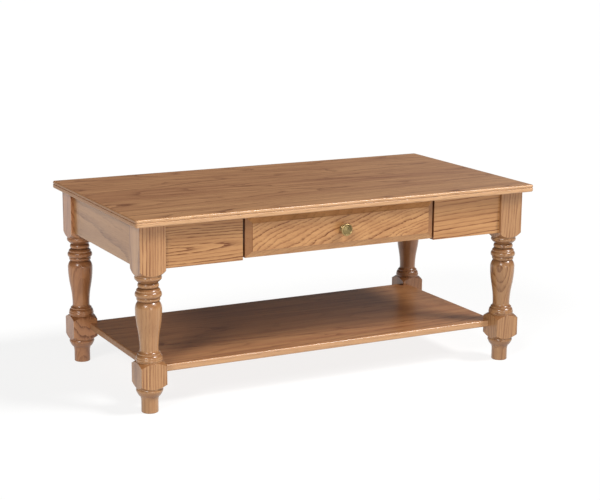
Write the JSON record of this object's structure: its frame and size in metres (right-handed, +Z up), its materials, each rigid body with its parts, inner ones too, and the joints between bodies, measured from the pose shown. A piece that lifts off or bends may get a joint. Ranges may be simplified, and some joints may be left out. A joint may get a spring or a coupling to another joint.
{
  "type": "coffee table",
  "caption": "Rectangular oak coffee table on turned legs, with a knobbed drawer sliding from its front apron and a notched lower shelf.",
  "frame": {"origin": "on the floor, under the middle of the table top", "axes": "+X along the table's length to the right as the drawer is faced, +Y away from the drawer side to the back, +Z up"},
  "size_m": [1.066, 0.566, 0.46],
  "materials": {
    "oak": "satin lacquered",
    "frame_poplar": "planed, unfinished",
    "drawer_poplar": "thin clear seal",
    "drawer_plywood": "thin clear seal",
    "dowel_beech": "plain",
    "brass": "antique, lacquered",
    "steel": "zinc plated"
  },
  "bodies": {
    "table": {"apron_back": "oak", "apron_front_left": "oak", "apron_front_right": "oak", "apron_left": "oak", "apron_right": "oak", "corner_block_back_left": "frame_poplar", "corner_block_back_right": "frame_poplar", "corner_block_front_left": "frame_poplar", "corner_block_front_right": "frame_poplar", "drawer_guide_left": "frame_poplar", "drawer_guide_right": "frame_poplar", "drawer_kicker_left": "frame_poplar", "drawer_kicker_right": "frame_poplar", "drawer_runner_left": "frame_poplar", "drawer_runner_right": "frame_poplar", "drawer_stop_left": "frame_poplar", "drawer_stop_right": "frame_poplar", "front_rail_lower": "frame_poplar", "front_rail_upper": "frame_poplar", "leg_back_left": "oak", "leg_back_right": "oak", "leg_front_left": "oak", "leg_front_right": "oak", "lower_shelf": "oak", "shelf_dowels": "dowel_beech", "stop_screws": "steel", "table_top": "oak", "top_screws": "steel"},
    "drawer": {"drawer_front": "oak", "drawer_box_front": "drawer_poplar", "drawer_side_left": "drawer_poplar", "drawer_side_right": "drawer_poplar", "drawer_back": "drawer_poplar", "drawer_bottom": "drawer_plywood", "drawer_front_screws": "steel", "drawer_bottom_screws": "steel", "drawer_knob": "brass", "knob_screw": "steel"}
  },
  "joints": [
    {"name": "drawer_slide", "type": "slide", "parent": "table", "child": "drawer", "axis": [0, -1, 0], "range_m": [0, 0.3]}
  ]
}
